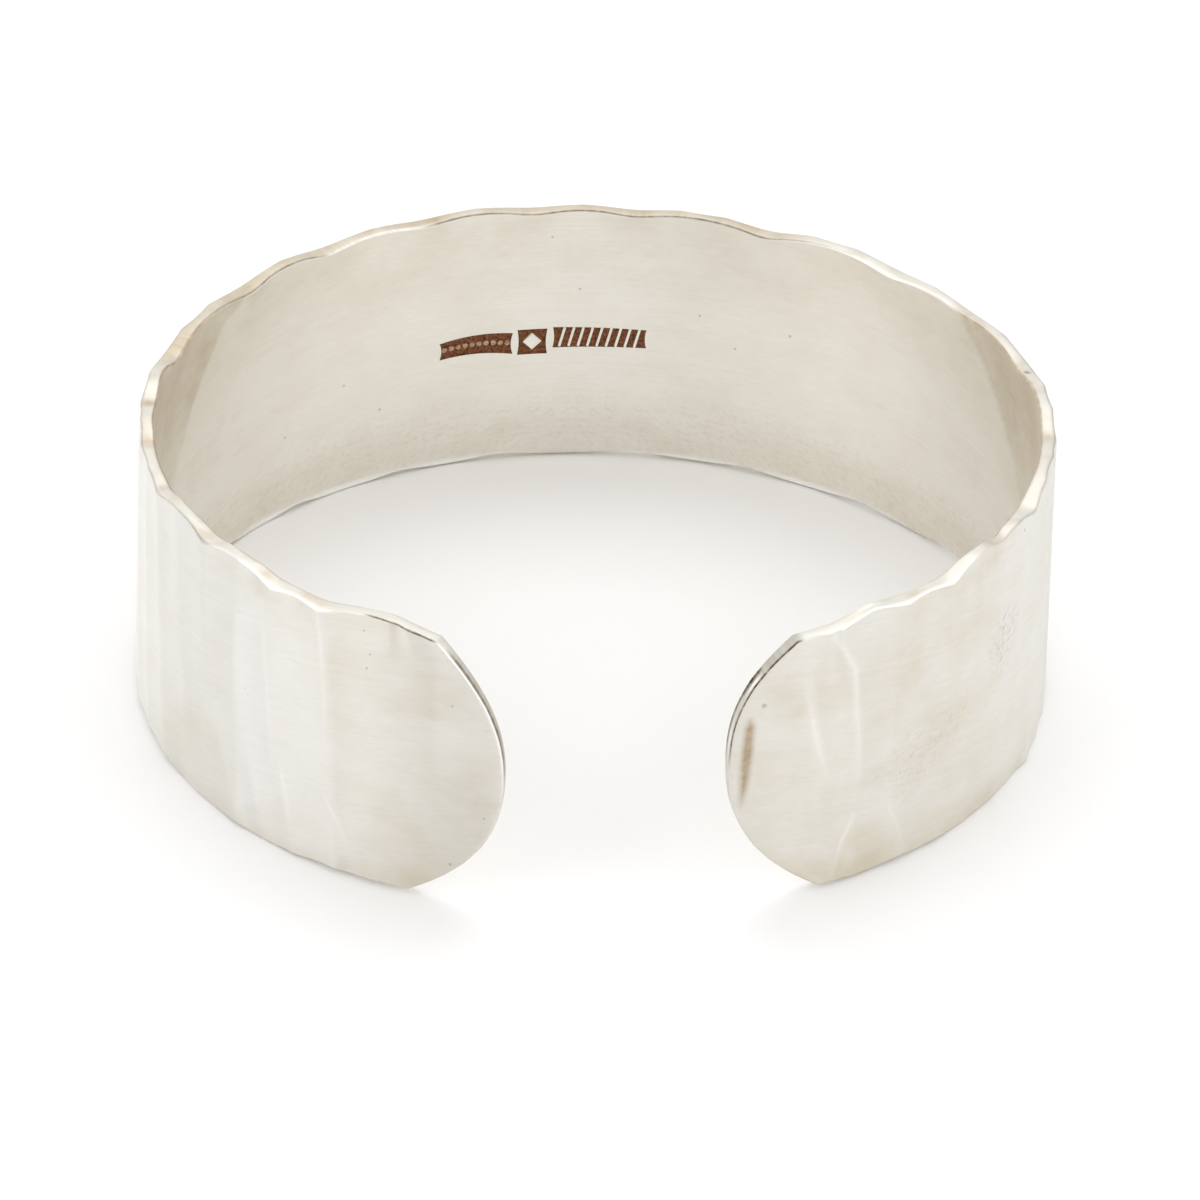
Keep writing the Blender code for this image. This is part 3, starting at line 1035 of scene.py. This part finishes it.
def patch(spot):
    """The inside of an outline of (along, height) corners, with soft edges."""
    here = np.stack([along, height], 1)
    far = np.full(len(here), np.inf)
    within = np.zeros(len(here), bool)
    ends = [np.array(corner) for corner in spot.outline]
    for start, end in zip(ends, ends[1:] + ends[:1]):
        run = end - start
        share = np.clip(((here - start) @ run) / (run @ run), 0, 1)
        far = np.minimum(far, np.linalg.norm(here - start - share[:, None] * run, axis=1))
        passes = (start[1] > here[:, 1]) != (end[1] > here[:, 1])
        slant = run[0] / run[1] if run[1] else 0.0
        within ^= passes & (here[:, 0] < start[0] + (here[:, 1] - start[1]) * slant)
    return spot.strength * ramp(np.where(within, far, -far), -spot.soft, spot.soft)


def edge(side, up):
    """1 on the filed corner between a face (side 1 outer, -1 inner) and the top or foot rim."""
    on_corner = np.exp(-(((looks * side - CORNER_LOOK) / CORNER_WIDTH) ** 2))
    return on_corner * ramp(looks_up * up, 0.15, 0.4)


def between(start, end, fade):
    """1 on a stretch of the strip, faded out at both ends; all in mm."""
    return ramp(along, start - fade, start + fade) * ramp(along, end + fade, end - fade)


def cell_noise(cell_along, cell_up):
    """Soft noise between -1 and 1, with cells of so many mm along and up."""
    here = np.stack([along / cell_along, height / cell_up, offset], 1)
    return np.array([noise.noise(place) for place in here])


def paint(name, values):
    """Store a layer on the points of the cuff, where the finishes read it."""
    values = np.clip(values, 0, 1).astype(np.float32)
    cuff.data.attributes.new(name, "FLOAT", "POINT").data.foreach_set("value", values)
    print("painted", name, "with a mean of", round(float(values.mean()), 3))


top_rim = ramp(height, 17, 18)
rimward = ramp(abs(looks), 0.95, 0.80)
tip_left = ramp(along, -78.4, -79.2) * ramp(height, 9, 12)
inner_line = top_rim * edge(-1, 1)
outer_line = top_rim * edge(1, 1) * ramp(looks_up, 0.35, 0.6)
print("points to paint:", len(along))

# %% [markdown]
# The warm film and painted shade
#
# The film makes silver darker and warmer. It is thick at the tips and along the foot. The same
# layer holds painted shade and painted light: on the outer face it darkens some facets and
# lightens a few, facet by facet. Inside, it darkens the long wedges under the rim and the
# inner face towards the foot and towards the top.

# %% Paint the film and the painted shade
# Patches on the outer face hold film, and also painted shade and painted light facet by facet. A plus
# strength darkens, and a minus strength lightens.
OUTER_FILM_AND_FACET_SHADING = [
    Patch(-0.22, 0.3, [(-62.6, 15.7), (-64.0, 17.3), (-65.2, 18.5), (-65.4, 15.0), (-65.8, 10.6),
                       (-66.9, 4.0), (-63.2, 1.4), (-62.9, 6.1), (-62.6, 9.8)]),
    Patch(-0.08, 0.5, [(-65.2, 18.5), (-69.5, 19.1), (-70.2, 16.3), (-70.5, 9.6), (-70.1, 6.7),
                       (-67.3, 3.5), (-66.5, 4.0), (-65.8, 10.6)]),
    Patch(0.14, 0.5, [(-65.7, 18.9), (-69.5, 19.5), (-70.0, 17.0), (-68.2, 16.6), (-65.9, 17.3)]),
    Patch(0.26, 1.5, [(-69.7, 20.8), (-73.5, 21.0), (-78.1, 20.0), (-76.9, 17.0), (-74.5, 16.4),
                      (-72.0, 16.2), (-70.4, 15.2)]),
    Patch(0.12, 1.2, [(-70.4, 15.0), (-72.0, 17.0), (-74.5, 17.4), (-75.6, 14.3), (-75.4, 6.7),
                      (-73.4, 1.4), (-70.8, 5.9), (-70.5, 9.6)]),
    Patch(0.20, 1.6, [(-76.6, 18.3), (-78.6, 18.9), (-81.3, 15.8), (-82.5, 12.2), (-79.7, 13.6),
                      (-77.7, 13.9), (-76.9, 16.2)]),
    Patch(0.19, 1.6, [(-75.0, 17.5), (-78.0, 18.0), (-82.5, 13.0), (-83.0, 7.0), (-80.0, 2.0),
                      (-77.0, 0.0), (-74.8, 1.0), (-76.0, 8.0)]),
    Patch(0.12, 0.6, [(-74.0, 6.3), (-75.4, 7.4), (-77.1, 4.9), (-76.8, 0.0), (-73.0, 0.0)]),
    Patch(0.20, 0.5, [(-77.1, 5.0), (-79.0, 3.8), (-79.8, 3.0), (-77.8, 0.5), (-76.5, 0.5),
                      (-77.0, 3.3)]),
    Patch(0.12, 0.6, [(-80.7, 11.0), (-82.4, 11.2), (-82.2, 7.4), (-80.9, 4.2), (-80.3, 7.9)]),
    Patch(0.14, 0.7, [(-59.0, 7.4), (-61.8, 5.0), (-63.1, 1.3), (-59.1, 0.5), (-53.0, 0.0),
                      (-52.0, 2.5)]),
    Patch(0.26, 0.9, [(-54.0, 0.2), (-66.0, 1.0), (-72.0, 1.3), (-77.0, 1.6), (-80.0, 0.8),
                      (-77.0, -1.0), (-54.0, -1.0)]),
    Patch(0.17, 2.0, [(61.5, 21.0), (61.0, 12.0), (60.5, 4.0), (61.0, -1.0), (84.0, -1.0),
                      (84.0, 21.0)]),
    Patch(0.14, 0.4, [(77.1, 18.6), (75.5, 18.3), (74.5, 16.4), (74.3, 14.4), (76.9, 15.2)]),
    Patch(0.22, 0.3, [(73.8, 4.4), (71.7, 3.9), (70.4, 1.5), (70.4, -0.5), (75.0, -0.5), (75.0, 1.0)]),
    Patch(0.12, 0.5, [(70.9, 19.4), (68.7, 18.7), (68.6, 13.0), (70.3, 13.0)]),
    Patch(0.12, 0.9, [(63.9, 11.0), (63.1, 8.8), (66.5, 6.7), (69.5, 4.6), (72.6, 7.4), (69.8, 10.5)]),
    Patch(0.34, 1.0, [(79.5, 3.6), (74.9, 1.6), (69.8, 1.9), (60.8, 1.8), (56.0, 1.0), (56.0, -1.5),
                      (80.0, -1.5)]),
    Patch(0.14, 0.5, [(80.2, 16.0), (78.6, 17.0), (77.7, 14.7), (77.8, 12.9), (79.5, 13.3)]),
    Patch(0.10, 0.6, [(63.7, 19.7), (60.8, 19.3), (60.7, 13.7), (63.4, 13.6)]),
    Patch(-0.14, 0.4, [(74.4, 20.4), (70.6, 20.5), (71.4, 18.9), (73.6, 18.3)]),
    Patch(-0.12, 0.6, [(74.0, 6.7), (71.7, 6.6), (71.2, 4.9), (73.1, 4.5)]),
]
# Painted shade: darker wedges on the inner face of both arms, under the rim.
SHADE_WEDGES = [
    Patch(1.0, 0.22, [(-26.9, 18.9), (-28.5, 18.4), (-30.0, 16.8), (-31.5, 15.4), (-32.8, 14.0),
                       (-34.2, 12.0), (-35.9, 9.8), (-40.0, 5.5), (-58.0, 5.0), (-58.0, 21.0),
                       (-26.0, 21.0)]),
    Patch(1.0, 0.22, [(30.7, 18.7), (31.9, 18.0), (33.3, 16.9), (35.0, 15.5), (36.6, 13.7),
                       (38.4, 12.1), (42.0, 7.5), (46.0, 5.5), (58.0, 5.0), (58.0, 21.0),
                       (29.0, 21.0)]),
]
SHADE_WEDGE_FADE = (56, 43)       # mm from the back, from none of a wedge to all of it
BASE_FILM = 0.19

film = outside * (BASE_FILM - 0.06 * between(-62, -38, 3) + sum(patch(spot) for spot in OUTER_FILM_AND_FACET_SHADING))
# The shade wedges are laid into the film as painted shade.
shade_wedges = inside * sum(patch(spot) for spot in SHADE_WEDGES) * ramp(abs(along), *SHADE_WEDGE_FADE)
film += shade_wedges * (0.22 * ramp(height, 5, 9) + 0.24 * ramp(height, 12, 16))
# Inside, the film is laid thicker towards the foot and towards the top as painted shade.
film += inside * (0.14 + 0.20 * ramp(height, 5.5, 1.5) + 0.16 * ramp(height, 12, 18))
film += on_rim * (0.60 * between(-38, 16, 3) + 0.20)
paint("film", film)

# %% [markdown]
# Tan smudges
#
# Tan gathers in the nicks of the top rim and fades out along its corners. A dab marks each
# nick, and noise breaks the plain stretches between them into a mottle.

# %% Paint the tan smudges
RIM_TOP = 19.6              # mm, height of the top rim
PAST_TIP = 90               # mm from the back, beyond either tip
NICKS = [-42.2, -46.4, -52.0, -58.9, -64.9, -68.4, -34.1, -25.4, -9.8, 4.2, 14.0, 30.3, 37.4,
         47.1, 61.2, 68.9]

mottle = cell_noise(1.3, 0.8)
at_back = between(-36, 14, 4)
on_arms = between(-70, -28, 2) + between(28, 66, 2)
at_tips = between(-PAST_TIP, -62, 2) + between(60, PAST_TIP, 2)
smudges_and_shade = sum(dab(Dab(nick, RIM_TOP, 0.0, 0.6, 1.0, 0.40, 0.42)) for nick in NICKS)
smudges_and_shade += dab(Dab(-44.3, RIM_TOP, 0.1, 1.6, 1.0, 0.3, 0.24))
smudges_and_shade += dab(Dab(-10.6, RIM_TOP, 0.1, 1.2, 1.0, 0.4, 0.4))
smudges_and_shade += on_rim * (0.10 * at_back + 0.20 * ramp(mottle, 0.05, 0.45))
smudges_and_shade += 0.75 * inner_line * on_arms
smudges_and_shade += 0.5 * edge(1, -1) * at_tips
# The shade wedges take a little tan high up, which is painted shade too.
smudges_and_shade += shade_wedges * 0.10 * ramp(height, 10, 15)
paint("tan", smudges_and_shade)

# %% [markdown]
# Browns
#
# What a cloth never reaches goes dark brown: the bottom of a few nicks, the corners of the
# rim, where the lines come and go, and bands round the ends of both tips.

# %% Paint the browns
high_up = ramp(height, 10.5, 12.5)
browns = 0.07 * on_rim * at_back
browns += dab(Dab(38.9, RIM_TOP, -0.1, 0.16, 0.5, 0.14, 1.0))
browns += dab(Dab(61.2, RIM_TOP, -0.5, 0.35, 0.3, 0.2, 0.7))
browns += dab(Dab(-57.5, RIM_TOP, -0.35, 0.5, 0.8, 0.22, 0.35))
browns += dab(Dab(-52.2, RIM_TOP, -0.55, 0.3, 0.4, 0.2, 0.5))
browns += 0.85 * outer_line * between(-77.8, -73.2, 0.3)
browns += 0.95 * inner_line * between(-72.6, -70.2, 0.3)
browns += inner_line * (0.55 * between(-28, 16, 3) + 0.14)
browns += outer_line * (0.30 * between(-62, -24, 3) + 0.22 * between(24, 60, 3))
browns += 0.30 * rimward * ramp(along, 77.4, 78.2) * ramp(height, 15.0, 16.6)
browns += 0.95 * rimward * high_up * ramp(along, 77.6, 78.4) * ramp(offset, 0.26, 0.40)
browns += 0.60 * rimward * high_up * ramp(along, 80.0, 80.6) * ramp(offset, -0.05, -0.15)
browns += 0.70 * rimward * tip_left * ramp(offset, 0.02, 0.14) * ramp(offset, 0.36, 0.24)
browns += 0.18 * rimward * tip_left * ramp(offset, 0.05, -0.05)
paint("brown", browns)

# %% [markdown]
# Flecks
#
# Fine olive scratches show in two places of the right arm and low on the inner face. Here
# only their place is painted, and the finish draws the scratches there.

# %% Paint the flecks
FLECKS = [
    Patch(0.75, 0.8, [(61.6, 11.6), (60.3, 14.6), (57.8, 13.4), (58.3, 10.8), (60.1, 9.6)]),
    Patch(0.34, 1.0, [(63.9, 10.6), (63.1, 8.8), (66.5, 6.7), (69.5, 4.6), (72.0, 7.4), (69.8, 9.6)]),
]

flecks = outside * sum(patch(spot) for spot in FLECKS)
flecks += inside * 0.26 * ramp(height, 6.5, 3.5) * between(-32, 40, 6)
paint("flecks", flecks)

# %% [markdown]
# Gleams
#
# The gleams are painted highlights. They lie on the corners of the rim and of the tips and along
# the foot inside, where the colour is lightened towards white, and are smoother than the silver
# beside them.

# %% Paint the gleams, which are painted highlights
GLEAM_LOOK = 0.72           # how far outwards the burnished corner of the left tip looks
GLEAM_WIDTH = 0.2

on_corner = np.exp(-(((looks - GLEAM_LOOK) / GLEAM_WIDTH) ** 2))
tip_right = ramp(along, 80.2, 81.0) * ramp(height, 11, 13)
# Painted highlights on the corner of the left tip, the rim corners, the foot inside and the right tip.
gleams = 0.9 * on_corner * ramp(along, -77.6, -78.4) * ramp(height, 8, 12)
gleams += 0.8 * inner_line * (between(-18.5, -10.5, 1) + between(20, 29.5, 1))
gleams += 0.9 * outer_line * (between(-70, -60, 1) + between(64, 76, 1))
gleams += 0.9 * inside * ramp(height, 0.75, 0.35) * (between(-26, -4, 3) + between(5, 24, 3))
gleams += rimward * tip_right * ramp(offset, 0.0, 0.08) * ramp(offset, 0.30, 0.22)
paint("gleam", gleams)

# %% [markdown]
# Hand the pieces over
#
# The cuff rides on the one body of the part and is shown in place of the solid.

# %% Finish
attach(cuff, "root")
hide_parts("cuff")
